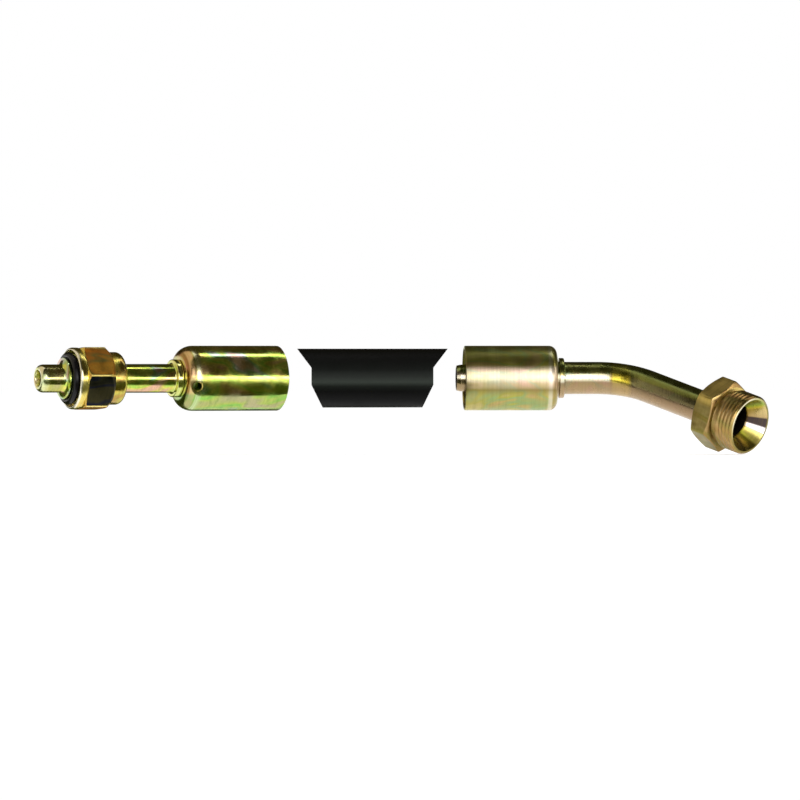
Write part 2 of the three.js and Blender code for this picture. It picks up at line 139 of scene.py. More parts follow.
AD_FLAT, AD_HEX, AD_TURN = 13.5, 9.4, 12.0
AD_THREAD, AD_THREAD_LEN = 12.7, 11.5
AD_BACK_CHAMFER, AD_FRONT_CHAMFER = (12.9, 0.5), (13.1, 0.5)
AD_THREAD_RISE, AD_PITCH = 0.11, 25.4 / 14
AD_LEN = AD_HEX + AD_THREAD_LEN
AD_END_CHAMFER, AD_RIM = 0.8, 0.7
CONE_MOUTH = AD_THREAD - AD_END_CHAMFER - AD_RIM
CONE_SLOPE = math.tan(math.radians(30))
SOLID_THROAT, SOLID_THROAT_LEN = 5.4, 2.0
SOCKET = AD_LEN - (CONE_MOUTH - SOLID_THROAT) / CONE_SLOPE - SOLID_THROAT_LEN
THROAT = 6.7
CONE_DEPTH = (CONE_MOUTH - THROAT) / CONE_SLOPE
RELIEF_W, RELIEF_D = 2.4, 1.1


# ---- Placing -----------------------------------------------------------------------------
def seated(mouth, side):
    """The frame of a fitting: X runs outward from its ferrule's mouth."""
    angle = side * (mouth + TOUCH) / BEND_R
    reach = BEND_R - TOUCH**2 / (4 * BEND_R)
    spot = Vector((reach * math.sin(angle), reach * math.cos(angle) - BEND_R, 0)) * MM
    turn = -angle if side > 0 else math.pi - angle
    return (
        Matrix.Translation(spot)
        @ Matrix.Rotation(turn, 4, "Z")
        @ Matrix.Translation((-TOUCH * MM, 0, 0))
    )


LEFT = seated(LEFT_MOUTH, -1)
RIGHT = seated(RIGHT_MOUTH, 1)
BENT = RIGHT @ Matrix.Rotation(TUBE_ROLL, 4, "X")


def tube_point(angle, beyond=0.0):
    """A point and a direction on the bent tube's middle line, past an angle of its bend."""
    tangent = Vector((math.cos(angle), -math.sin(angle), 0))
    point = Vector(
        (BEND_AT + TUBE_BEND_R * math.sin(angle), -TUBE_BEND_R * (1 - math.cos(angle)), 0)
    )
    return point + tangent * beyond, tangent


END = BENT @ Matrix.Translation(tube_point(TUBE_BEND, LEG)[0] * MM)
END = END @ Matrix.Rotation(-TUBE_BEND, 4, "Z")

# ---- Building ----------------------------------------------------------------------------
SHARP = math.radians(33)
CORNER_STEPS = 4
STEM_SIDES, SHELL_SIDES, BENT_SIDES, BRAZE_SIDES = 120, 160, 112, 96
RING_SIDES = 36
Spot = namedtuple("Spot", "x out turn index")


def add_object(name, data):
    item = bpy.data.objects.new(name, data)
    bpy.context.scene.collection.objects.link(item)
    return item


def add_mesh(name, points, faces):
    mesh = bpy.data.meshes.new(name)
    mesh.from_pydata(points, [], faces)
    return add_object(name, mesh)


def grid_object(name, grid, place, body, nodes, material):
    """A mesh from rows x columns of points in mm, closed both ways, that rides a body."""
    rows, cols = grid.shape[:2]
    faces = []
    for i in range(rows):
        a, b = i * cols, (i + 1) % rows * cols
        for j in range(cols):
            k = (j + 1) % cols
            faces.append((a + j, a + k, b + k, b + j))
    piece = add_mesh(name, (grid.reshape(-1, 3) * MM).tolist(), faces)
    piece.matrix_world = place
    mesh = piece.data
    mesh.validate()
    mesh.shade_smooth()
    mesh.set_sharp_from_angle(angle=SHARP)
    mesh.materials.append(material)
    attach(piece, body)
    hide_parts(*nodes)
    return piece


def turned_grid(profile, angles):
    """profile: list of (x, r), each a number or an array with one value per column."""
    grid = np.zeros((len(profile), len(angles), 3))
    for i, (x, r) in enumerate(profile):
        grid[i, :, 0] = x
        grid[i, :, 1] = r * np.cos(angles)
        grid[i, :, 2] = r * np.sin(angles)
    return grid


def paint(piece, material, chosen):
    """Gives a material to the faces whose Spot is chosen: where they are along the piece's
    own X axis and out from it, in mm, and how far round it, in degrees."""
    piece.data.materials.append(material)
    slot = len(piece.data.materials) - 1
    for face in piece.data.polygons:
        x, y, z = face.center / MM
        if chosen(Spot(x, math.hypot(y, z), math.degrees(math.atan2(z, y)), face.index)):
            face.material_index = slot


def even(sides):
    """Angles once round, the first at 0."""
    return np.arange(sides) / sides * 2 * np.pi


def rounded(points, radii):
    """Rounds the corners of an open profile. radii: one per point, 0 for a sharp one."""
    out = []
    pts = [np.array(p, float) for p in points]
    for i, (p, radius) in enumerate(zip(pts, radii)):
        if radius <= 0 or i in (0, len(pts) - 1):
            out.append(tuple(p))
            continue
        u, v = pts[i - 1] - p, pts[i + 1] - p
        lu, lv = np.linalg.norm(u), np.linalg.norm(v)
        cut = min(radius, 0.45 * lu, 0.45 * lv)
        a, b = p + u / lu * cut, p + v / lv * cut
        for s in range(CORNER_STEPS + 1):
            t = s / CORNER_STEPS
            out.append(tuple((1 - t) ** 2 * a + 2 * t * (1 - t) * p + t**2 * b))
    return out


def quarter(start, end, steps):
    """Leaves start along the axis and meets end square to it."""
    out = []
    for i in range(1, steps + 1):
        a = i / steps * math.pi / 2
        x = start[0] + (end[0] - start[0]) * math.sin(a)
        out.append((x, end[1] + (start[1] - end[1]) * math.cos(a)))
    return out


# ---- Materials ---------------------------------------------------------------------------
MICRON = 1e-6
# What bands of colour run along: the piece's own X axis, its Z axis, or round its X axis.
ALONG, UP, AROUND = 0, 2, "round"
# Where the Mix node keeps its factor, its two colours and its mixed colour.
MIX_INPUTS, MIX_RESULT = (0, 6, 7), 2


def linear(value):
    """A colour channel of 0 to 255 as a linear number."""
    c = value / 255
    return c / 12.92 if c <= 0.04045 else ((c + 0.055) / 1.055) ** 2.4


def rgba(colour):
    """A colour with channels of 0 to 255 as linear numbers, with full alpha."""
    return (*[linear(c) for c in colour], 1)


class Nodes:
    """Short calls for a material's node tree."""

    def __init__(self, name):
        self.material = bpy.data.materials.new(name)
        self.material.use_nodes = True
        self.tree = self.material.node_tree
        self.shader = self.tree.nodes["Principled BSDF"]
        self.coords = self.tree.nodes.new("ShaderNodeTexCoord").outputs["Object"]

    def node(self, kind, **values):
        """A new node, with some of its inputs set."""
        node = self.tree.nodes.new("ShaderNode" + kind)
        for key, value in values.items():
            node.inputs[key.replace("_", " ")].default_value = value
        return node

    def set(self, **values):
        """Sets inputs of the shader."""
        for key, value in values.items():
            self.shader.inputs[key.replace("_", " ")].default_value = value

    def feed(self, **sources):
        """Links to inputs of the shader."""
        for key, source in sources.items():
            self.link(source, self.shader.inputs[key.replace("_", " ")])

    def link(self, source, target):
        self.tree.links.new(source, target)

    def mapped(self, scale, turn):
        node = self.node("Mapping", Scale=scale, Rotation=turn)
        self.link(self.coords, node.inputs["Vector"])
        return node.outputs["Vector"]

    def noise(self, scale, detail, stretch=(1, 1, 1), rough=0.5, distort=0.0, turn=(0, 0, 0)):
        node = self.node(
            "TexNoise", Scale=scale, Detail=detail, Roughness=rough, Distortion=distort
        )
        self.link(self.mapped(stretch, turn), node.inputs["Vector"])
        return node.outputs["Fac"]

    def axes(self):
        split = self.node("SeparateXYZ")
        self.link(self.coords, split.inputs[0])
        return split.outputs

    def round_x(self):
        """The turn round the piece's own X axis, in radians."""
        axes = self.axes()
        turn = self.node("Math")
        turn.operation = "ARCTAN2"
        self.link(axes[2], turn.inputs[0])
        self.link(axes[1], turn.inputs[1])
        return turn.outputs[0]

    def share(self, value, low, high):
        """0 to 1 as a value goes from low to high."""
        node = self.node("MapRange", From_Min=low, From_Max=high)
        self.link(value, node.inputs["Value"])
        return node.outputs["Result"]

    def ramp(self, source, stops):
        """stops: (0 to 1, colour), or (0 to 1, strength) for a shade of grey."""
        node = self.node("ValToRGB")
        elements = node.color_ramp.elements
        while len(elements) < len(stops):
            elements.new(0.5)
        for element, (at, value) in zip(elements, stops):
            element.position = at
            element.color = rgba(value) if hasattr(value, "__len__") else (*[value] * 3, 1)
        self.link(source, node.inputs["Fac"])
        return node.outputs["Color"]

    def mix(self, factor, a, b, mode="MIX"):
        """Each of the three is an output, or else factor is a number, a and b colours."""
        node = self.node("Mix")
        node.data_type, node.blend_type = "RGBA", mode
        for index, value in zip(MIX_INPUTS, (factor, a, b)):
            if hasattr(value, "is_linked"):
                self.link(value, node.inputs[index])
            elif hasattr(value, "__len__"):
                node.inputs[index].default_value = rgba(value)
            else:
                node.inputs[index].default_value = value
        return node.outputs[MIX_RESULT]

    def tinted(self, colour, run, stops):
        """Lays bands over a colour. stops: (mm, strength, colour) for a run ALONG or UP,
        and (degrees, strength, colour) from -180 to 180 for AROUND."""
        low, high = stops[0][0], stops[-1][0]
        if run == AROUND:
            spot = self.share(self.round_x(), -math.pi, math.pi)
        else:
            spot = self.share(self.axes()[run], low * MM, high * MM)
        places = [(at - low) / (high - low) for at, _, _ in stops]
        strength = self.ramp(spot, [(at, stop[1]) for at, stop in zip(places, stops)])
        band = self.ramp(spot, [(at, stop[2]) for at, stop in zip(places, stops)])
        return self.mix(strength, colour, band)

    def bump(self, heights):
        """heights: (source, distance in metres), one on the other."""
        normal = None
        for source, distance in heights:
            node = self.node("Bump", Distance=distance, Strength=1.0)
            self.link(source, node.inputs["Height"])
            if normal is not None:
                self.link(normal, node.inputs["Normal"])
            normal = node.outputs["Normal"]
        self.feed(Normal=normal)


def plating(
    name,
    patches,
    warm,
    dull,
    shine,
    wide,
    seed=0.0,
    streaks=0.5,
    spots=0.5,
    marks=12,
    tints=(),
):
    """Zinc chromate on turned steel: patches of interference colour and lathe marks.

    warm and dull are tinges over the patches, streaks and spots the strengths of the dull
    one, shine and wide the least and most roughness, and marks the lathe marks' depth in
    microns. tints: (run, stops) of the bands laid over the patches, as in Nodes.tinted."""
    m = Nodes(name)
    drift = m.noise(38, 2, (1, 1.6, 1.6), distort=1.2, turn=(seed, 0.3, seed))
    colour = m.ramp(drift, patches)
    tinge = m.noise(150, 2, (0.5, 1, 1), distort=0.4, turn=(0.4, seed, 0.2))
    colour = m.mix(m.ramp(tinge, [(0.45, 0.0), (0.75, 0.55)]), colour, warm)
    stain = m.noise(420, 4, (1, 0.7, 0.7), rough=0.65)
    colour = m.mix(m.ramp(stain, [(0.5, 0.0), (0.8, spots)]), colour, dull)
    for run, stops in tints:
        colour = m.tinted(colour, run, stops)
    lathe = m.noise(1400, 3, (1.0, 0.03, 0.03), rough=0.6)
    colour = m.mix(m.ramp(lathe, [(0.42, 0.0), (0.75, streaks * 0.5)]), colour, dull)
    m.feed(Base_Color=colour, Roughness=m.ramp(m.noise(150, 2), [(0.36, shine), (0.64, wide)]))
    m.bump([(lathe, marks * MICRON), (m.noise(90, 2), 0.0001)])
    m.set(Metallic=1.0)
    return m.material


OLIVE_PATCHES = [
    (0.34, (236, 190, 160)),
    (0.41, (232, 222, 110)),
    (0.46, (178, 224, 96)),
    (0.52, (226, 232, 110)),
    (0.57, (164, 214, 150)),
    (0.62, (206, 206, 200)),
    (0.68, (236, 196, 176)),
]


def olive(name, tints):
    return plating(
        name,
        OLIVE_PATCHES,
        warm=(224, 196, 104),
        dull=(110, 112, 36),
        shine=0.13,
        wide=0.27,
        seed=0.6,
        tints=tints,
    )


PALE, STRAW = (252, 250, 200), (226, 228, 116)
DOME = L_LEN - L_SHOULDER
# Bands on the left ferrule. Along it: a pale painted highlight where the dome starts, then tan
# and brown-red painted reflections over the dome. Up it: a green painted reflection low down
# and a warm painted highlight at the top.
LEFT_FERRULE_PLATING_AND_LIGHT = olive(
    "left_ferrule_plating_painted_light",
    [
        (
            ALONG,
            [
                (DOME + 0.4, 0.0, PALE),
                (DOME + 1.8, 0.85, PALE),
                (DOME + 2.8, 0.85, PALE),
                (DOME + 3.2, 0.5, (150, 140, 70)),
                (DOME + 3.7, 0.7, (232, 190, 150)),
                (DOME + 5.2, 0.75, (226, 176, 140)),
                (DOME + 5.6, 0.8, (150, 84, 56)),
                (DOME + 6.2, 0.8, (170, 104, 70)),
                (DOME + 6.5, 0.6, (240, 226, 180)),
            ],
        ),
        (
            UP,
            [
                (-13.6, 0.35, (60, 176, 92)),
                (-7.2, 0.45, (60, 176, 92)),
                (-5.6, 0.0, (60, 176, 92)),
                (10.6, 0.0, (255, 220, 150)),
                (12.6, 0.4, (255, 220, 150)),
                (13.6, 0.4, (255, 220, 150)),
            ],
        ),
    ],
)
LEFT_STEM_PLATING = olive(
    "left_stem_plating",
    [
        (
            ALONG,
            [
                (L_COLLAR_AT - 0.5, 0.0, PALE),
                (L_COLLAR_AT, 0.6, (236, 240, 160)),
                (L_TUBE_AT, 0.6, (236, 240, 160)),
                (L_TUBE_AT + 2, 0.0, STRAW),
                (FRONT_BEAD + 1.5, 0.0, STRAW),
                (PILOT_AT + 0.5, 0.75, (200, 188, 100)),
                (PILOT_END - 3.5, 0.75, (200, 188, 100)),
                (PILOT_END - 1.0, 0.6, PALE),
            ],
        ),
    ],
)


KHAKI_PATCHES = [
    (0.34, (222, 176, 138)),
    (0.41, (208, 196, 96)),
    (0.47, (212, 196, 130)),
    (0.53, (190, 188, 84)),
    (0.58, (150, 188, 132)),
    (0.63, (204, 184, 112)),
    (0.69, (222, 178, 142)),
]


def khaki(name, tints, shine=0.30, wide=0.40, streaks=0.5, marks=12):
    return plating(
        name,
        KHAKI_PATCHES,
        warm=(206, 178, 120),
        dull=(120, 110, 62),
        shine=shine,
        wide=wide,
        seed=2.1,
        streaks=streaks,
        spots=0.2,
        marks=marks,
        tints=tints,
    )


# Bands on the right ferrule. Along it: a pale painted highlight where the shoulder starts and
# brownish painted shade over the shoulder. Up it: a pale pink painted highlight along the
# middle, dark olive painted shade above it, lighter again at the top, and a darker tan
# underneath.
RIGHT_FERRULE_PLATING_AND_LIGHT = khaki(
    "khaki_plating",
    [
        (
            ALONG,
            [
                (R_LEN - R_SHOULDER - 1.2, 0.0, PALE),
                (R_LEN - R_SHOULDER - 0.4, 0.8, (255, 246, 226)),
                (R_LEN - R_SHOULDER + 0.6, 0.8, (255, 246, 226)),
                (R_LEN - R_SHOULDER + 1.3, 0.6, (176, 138, 90)),
                (R_LEN, 0.6, (150, 112, 70)),
            ],
        ),
        (
            UP,
            [
                (-13.2, 0.3, (168, 164, 88)),
                (-8.0, 0.35, (160, 152, 84)),
                (-5.0, 0.8, (134, 116, 66)),
                (-2.4, 0.5, (220, 190, 170)),
                (-1.2, 0.45, (250, 232, 222)),
                (3.4, 0.45, (250, 232, 222)),
                (5.4, 0.75, (140, 136, 58)),
                (9.5, 0.75, (120, 122, 52)),
                (13.2, 0.7, (172, 176, 110)),
            ],
        ),
    ],
)
# Bands on the bent tube. Up it: a pale painted highlight along the middle, olive painted shade
# on top and a darker tan underneath. Along it: a tan gap, then a yellow painted highlight on
# the bend, then painted shade darkening the leg.
RIGHT_STEM_PLATING_AND_LIGHT = khaki(
    "right_tube_plating_painted_light",
    [
        (
            UP,
            [
                (0.6, 0.0, (246, 234, 216)),
                (1.7, 0.6, (246, 234, 216)),
                (4.0, 0.6, (250, 240, 226)),
                (4.9, 0.0, (246, 234, 216)),
            ],
        ),
        (
            ALONG,
            [
                (BEND_AT + 4.6, 0.0, (255, 236, 110)),
                (BEND_AT + 5.4, 0.85, (170, 140, 80)),
                (BEND_AT + 6.4, 0.9, (255, 230, 60)),
                (BEND_AT + 12.5, 0.9, (255, 226, 50)),
                (BEND_AT + 14.0, 0.85, (124, 118, 60)),
                (BEND_AT + 22.0, 0.85, (96, 94, 50)),
                (BEND_AT + 48.0, 0.85, (84, 84, 46)),
            ],
        ),
        (
            UP,
            [
                (-6.8, 0.9, (190, 166, 136)),
                (-1.6, 0.9, (170, 142, 112)),
                (1.2, 0.8, (134, 108, 84)),
                (2.2, 0.0, (160, 130, 100)),
                (4.4, 0.0, (140, 142, 72)),
                (5.0, 0.8, (134, 140, 72)),
                (6.8, 0.8, (122, 132, 70)),
            ],
        ),
    ],
    shine=0.19,
    wide=0.30,
    streaks=0.45,
    marks=40,
)
BROWN = [
    (0.36, (170, 138, 78)),
    (0.44, (138, 130, 62)),
    (0.50, (160, 144, 88)),
    (0.56, (130, 112, 62)),
    (0.64, (158, 150, 80)),
]
# The adapter's plating, tinted lighter towards its top: painted light.
HEX_PLATING_LIT_TOP = plating(
    "adapter_plating_lit_top",
    BROWN,
    warm=(146, 112, 64),
    dull=(92, 82, 40),
    shine=0.30,
    wide=0.46,
    seed=2.6,
    spots=0.5,
    tints=[(UP, [(7.5, 0.0, (236, 204, 116)), (10.0, 0.75, (236, 204, 116))])],
)
THREAD_PLATING = plating(
    "adapter_thread_plating",
    [
        (0.38, (178, 140, 82)),
        (0.48, (156, 142, 78)),
        (0.56, (186, 156, 104)),
        (0.66, (160, 136, 72)),
    ],
    warm=(186, 134, 80),
    dull=(92, 78, 40),
    shine=0.24,
    wide=0.4,
    seed=1.1,
    spots=0.2,
)
# Painted reflections inside the cone: sectors of light and dark colour round it, from -180 to
# 180 degrees.
CONE_PAINTED_REFLECTIONS = [
    (-180, 0.0, (206, 196, 120)),
    (-150, 0.4, (88, 76, 26)),
    (-138, 0.85, (88, 76, 26)),
    (-71, 0.85, (96, 82, 28)),
    (-64, 1.0, (255, 236, 130)),
    (-41, 1.0, (255, 238, 140)),
    (-38, 0.9, (190, 150, 140)),
    (-35, 0.95, (255, 246, 250)),
    (-25, 0.95, (255, 246, 250)),
    (-22, 0.95, (54, 42, 60)),
    (-4, 0.95, (60, 48, 64)),
    (0, 0.75, (206, 172, 128)),
    (16, 0.75, (230, 206, 146)),
    (28, 0.75, (214, 200, 120)),
    (38, 0.8, (160, 196, 84)),
    (76, 0.8, (164, 196, 92)),
    (104, 0.2, (196, 196, 120)),
    (180, 0.0, (206, 196, 120)),
]
CONE_PLATING_AND_REFLECTIONS = plating(
    "adapter_cone_painted_reflections",
    [(0.36, (214, 200, 110)), (0.5, (206, 196, 120)), (0.64, (224, 190, 140))],
    warm=(220, 190, 110),
    dull=(120, 104, 50),
    shine=0.22,
    wide=0.34,
    seed=0.4,
    spots=0.1,
    tints=[(AROUND, CONE_PAINTED_REFLECTIONS)],
)
# Near-black plating for the bores and the throat: painted shade inside the hollows.
BORE_PAINTED_SHADE = plating(
    "bore_painted_shade",
    [(0.4, (34, 30, 24)), (0.6, (22, 20, 20))],
    warm=(40, 32, 22),
    dull=(14, 13, 12),
    shine=0.45,
    wide=0.65,
)
# The nut's plating, lighter gold over its front collar, with a near-white painted highlight on
# the rolled rim.
NUT_PLATING_AND_RIM_HIGHLIGHT = plating(
    "nut_plating_rim_highlight",
    [
        (0.30, (216, 172, 80)),
        (0.42, (226, 196, 84)),
        (0.50, (212, 206, 100)),
        (0.58, (196, 160, 84)),
        (0.68, (220, 214, 122)),
    ],
    warm=(206, 146, 66),
    dull=(100, 82, 40),
    shine=0.14,
    wide=0.32,
    seed=1.3,
    tints=[
        (
            ALONG,
            [
                (NUT_HEX_END - 0.6, 0.0, (240, 224, 120)),
                (NUT_HEX_END + 0.2, 0.75, (240, 224, 120)),
                (NUT_RIM - 1.1, 0.75, (244, 226, 130)),
                (NUT_RIM - 0.5, 0.95, (255, 250, 226)),
                (NUT_RIM, 0.95, (255, 250, 226)),
            ],
        ),
    ],
)
# The adapter's front rim, tinted round its turn by painted light: pale over one arc, darker
# over the rest.
RIM_PAINTED_LIGHT = plating(
    "adapter_rim_painted_light",
    [(0.40, (200, 186, 130)), (0.60, (176, 164, 106))],
    warm=(190, 170, 110),
    dull=(120, 108, 60),
    shine=0.30,
    wide=0.44,
    streaks=0.1,
    tints=[
        (
            AROUND,
            [
                (-180, 0.9, (196, 180, 120)),
                (-160, 0.9, (140, 124, 62)),
                (-91, 0.9, (132, 118, 58)),
                (29, 0.9, (124, 118, 64)),
                (60, 0.9, (184, 182, 112)),
                (90, 0.9, (226, 218, 186)),
                (160, 0.9, (226, 218, 186)),
                (180, 0.9, (196, 180, 120)),
            ],
        ),
    ],
)
# Pale gold for the nut's hexagon corners and the sight hole's rolled edge: a painted highlight.
EDGE_PAINTED_HIGHLIGHT = plating(
    "nut_edge_painted_highlight",
    [(0.40, (255, 236, 150)), (0.60, (250, 226, 130))],
    warm=(250, 220, 130),
    dull=(220, 196, 110),
    shine=0.34,
    wide=0.45,
)
# Orange plating for every other flat of the nut's hexagon: painted light.
NUT_FLATS_PAINTED_LIGHT = plating(
    "nut_flats_painted_light",
    [
        (0.38, (222, 136, 36)),
        (0.46, (190, 124, 44)),
        (0.53, (128, 122, 62)),
        (0.58, (196, 140, 50)),
        (0.64, (216, 160, 60)),
    ],
    warm=(206, 120, 36),
    dull=(104, 82, 36),
    shine=0.36,
    wide=0.55,
    seed=0.9,
    streaks=0.2,
)
# Near-black plating for the flats between them: painted shade.
NUT_FLATS_PAINTED_SHADE = plating(
    "nut_flats_painted_shade",
    [
        (0.38, (40, 42, 36)),
        (0.47, (58, 58, 40)),
        (0.54, (34, 40, 62)),
        (0.62, (72, 68, 44)),
    ],
    warm=(60, 56, 44),
    dull=(22, 24, 28),
    shine=0.34,
    wide=0.5,
    seed=1.7,
    streaks=0.2,
)
BRAZE = plating(
    "braze_alloy",
    [(0.35, (186, 160, 96)), (0.5, (204, 182, 118)), (0.65, (170, 150, 92))],
    warm=(190, 150, 90),
    dull=(104, 88, 50),
    shine=0.28,
    wide=0.45,
    seed=0.2,
    streaks=0.1,
)


def rubber(name, dark, light, rough, grain, bump, gloss=0.5, band=()):
    """band: (mm, strength, colour) up the piece's own Z axis."""
    m = Nodes(name)
    fine = m.noise(grain, 4, rough=0.65)
    broad = m.noise(70, 3)
    colour = m.mix(m.ramp(fine, [(0.35, 0.0), (0.75, 1.0)]), dark, light)
    colour = m.mix(m.ramp(broad, [(0.4, 0.0), (0.8, 0.35)]), colour, light)
    if band:
        colour = m.tinted(colour, UP, band)
    m.feed(
        Base_Color=colour,
        Roughness=m.ramp(broad, [(0.3, rough - 0.06), (0.7, rough + 0.06)]),
    )
    m.bump([(fine, bump)])
    m.set(Specular_IOR_Level=gloss)
    return m.material


# Up the hose's cover: a lighter painted sheen just below its middle, near-black at the top and
# bottom.
COVER_PAINTED_SHEEN = [
    (-12.4, 0.9, (4, 4, 4)),
    (-5.5, 0.9, (3, 3, 3)),
    (-3.4, 0.8, (20, 24, 20)),
    (-1.6, 0.7, (52, 58, 52)),
    (0.6, 0.7, (34, 38, 34)),
    (3.5, 0.8, (14, 17, 14)),
    (8.0, 0.9, (5, 5, 4)),
    (12.4, 0.9, (6, 5, 4)),
]
COVER = rubber(
    "cover_rubber", (3, 4, 3), (11, 13, 12), 0.5, 900, 0.00004, gloss=0.10, band=COVER_PAINTED_SHEEN
)
SEAL = rubber("seal_rubber", (6, 5, 7), (14, 12, 15), 0.26, 700, 0.00001, gloss=0.28)
INNER = rubber("inner_rubber", (22, 22, 22), (44, 43, 42), 0.62, 1100, 0.00004)
NYLON = rubber("barrier_nylon", (196, 188, 160), (222, 216, 196), 0.42, 500, 0.00001)
SOFT = rubber("cushion_rubber", (30, 30, 31), (52, 51, 50), 0.66, 1000, 0.00004)


def yarn():
    """Two crossed layers of strands."""
    m = Nodes("braid_yarn")
    strands = []
    for turn in (0.9, -0.9):
        node = m.node("TexWave", Scale=420, Distortion=1.2)
        node.wave_type, node.bands_direction = "BANDS", "X"
        m.link(m.mapped((1, 1, 1), (turn, turn, turn)), node.inputs["Vector"])
        strands.append(node.outputs["Fac"])
    weave = m.mix(0.5, *strands, "MULTIPLY")
    m.feed(Base_Color=m.mix(weave, (120, 112, 92), (206, 200, 180)))
    m.set(Roughness=0.85)
    m.bump([(weave, 0.00015)])
    return m.material


YARN = yarn()

# ---- Hose --------------------------------------------------------------------------------
HOSE_FINISH = {
    "hose_inner_tube": (INNER, "inner_rubber"),
    "hose_barrier": (NYLON, "barrier_nylon"),
    "hose_cushion": (SOFT, "inner_rubber"),
    "hose_braid": (YARN, "braid_yarn"),
    "hose_cover": (COVER, "cover_rubber"),
}
CUT_DIR = np.array([math.cos(math.radians(VIEW_TURN)), math.sin(math.radians(VIEW_TURN))])
FAR_STATION, HALVINGS = 60.0, 40
HOSE_SIDES, HOSE_STATIONS, WALL_RINGS = 180, 28, 4


def cut_edge(z):
    """How far the hose reaches at a height, along CUT_DIR from its middle."""
    upper = HOSE_WAIST + (z - CUT_TOP) * (HOSE_TOP - HOSE_WAIST) / (HOSE_R - CUT_TOP)
    lower = HOSE_WAIST + (z - CUT_BOTTOM) * (HOSE_WAIST - HOSE_BOTTOM) / (HOSE_R + CUT_BOTTOM)
    return np.where(z > CUT_TOP, upper, np.where(z < CUT_BOTTOM, lower, HOSE_WAIST))


def on_arc(station, radius, angles):
    """Points round the hose at an arc station, which may differ from column to column."""
    turn = station / BEND_R
    reach = BEND_R + radius * np.cos(angles)
    return np.stack(
        [reach * np.sin(turn), reach * np.cos(turn) - BEND_R, radius * np.sin(angles)], axis=-1
    )


def cut_station(radius, angles, side):
    """Where a line along the hose meets the slanted cut, found by halving."""
    lo, hi = np.zeros_like(angles), np.full_like(angles, FAR_STATION)
    edge = cut_edge(radius * np.sin(angles))
    for _ in range(HALVINGS):
        middle = (lo + hi) / 2
        along = on_arc(side * middle, radius, angles)[:, :2] @ CUT_DIR * side
        lo, hi = np.where(along < edge, middle, lo), np.where(along < edge, hi, middle)
    return side * (lo + hi) / 2


def hose_layer(name, inner, outer):
    angles = even(HOSE_SIDES)
    radii = [inner + (outer - inner) * k / WALL_RINGS for k in range(WALL_RINGS)]
    rows = [on_arc(cut_station(radius, angles, -1), radius, angles) for radius in radii]
    start, stop = cut_station(outer, angles, -1), cut_station(outer, angles, 1)
    for k in range(HOSE_STATIONS + 1):
        rows.append(on_arc(start + (stop - start) * k / HOSE_STATIONS, outer, angles))
    for radius in reversed(radii):
        rows.append(on_arc(cut_station(radius, angles, 1), radius, angles))
    start, stop = cut_station(inner, angles, 1), cut_station(inner, angles, -1)
    for k in range(1, HOSE_STATIONS):
        rows.append(on_arc(start + (stop - start) * k / HOSE_STATIONS, inner, angles))
    material, slot = HOSE_FINISH[name]
    grid_object(
        name + "_fine", np.array(rows), Matrix.Identity(4), "hose", [name], material
    )


def hose():
    inner = HOSE_BORE_R
    for name, wall in LAYERS:
        hose_layer(name, inner, inner + wall)
        inner += wall + LAYER_GAP


# ---- Turned pieces -----------------------------------------------------------------------
def barbed(nose, length):
    """A stem's profile from its nose to its neck, and the radius of each corner."""
    points = [(nose, BORE + 0.35), (nose, ROOT - BARB_DEPTH), (nose + NOSE_LEAD, ROOT)]
    radii = [0, 0.2, 0.3]
    first = nose + NOSE_LEAD + BARB_PITCH
    for i in range(BARBS):
        crest = first + i * BARB_PITCH
        points += [
            (crest - BARB_PITCH + BARB_LAND, ROOT),
            (crest, CREST),
            (crest + 0.12, ROOT),
        ]
        radii += [0.1, 0.12, 0.1]
    back = length - FERRULE_END - SEAT
    points += [
        (back - FLANGE_LEN - (FLANGE - ROOT), ROOT),
        (back - FLANGE_LEN, FLANGE),
        (back, FLANGE),
        (back, NECK),
    ]
    radii += [0.4, 0.25, 0.2, 0.2]
    return points, radii


def ferrule_grid(length, shoulder, drop):
    """A shell with its open mouth at 0, a domed shoulder and a hole for the stem's neck."""
    hole = NECK + SEAT
    dome, back = length - shoulder, length - FERRULE_END
    rise = max(shoulder - FERRULE_END, FERRULE_WALL)
    inner_drop = max(drop - FERRULE_WALL, FERRULE_WALL)
    rings = 12
    profile = [(0.0, FERRULE_IN + 0.3), (0.08, FERRULE_OUT - 0.3), (0.35, FERRULE_OUT - 0.02)]
    profile += [(0.5 + (dome - 0.5) * k / rings, FERRULE_OUT) for k in range(rings + 1)]
    profile += quarter((dome, FERRULE_OUT), (length, FERRULE_OUT - drop), 14)
    profile += [(length, hole + 0.25), (length - 0.15, hole + 0.05), (length - 0.4, hole)]
    profile += [(back, hole)]
    inside = quarter((back - rise, FERRULE_IN), (back, FERRULE_IN - inner_drop), 8)
    profile += inside[::-1] + [(back - rise, FERRULE_IN), (0.4, FERRULE_IN)]
    return turned_grid(profile, even(SHELL_SIDES))


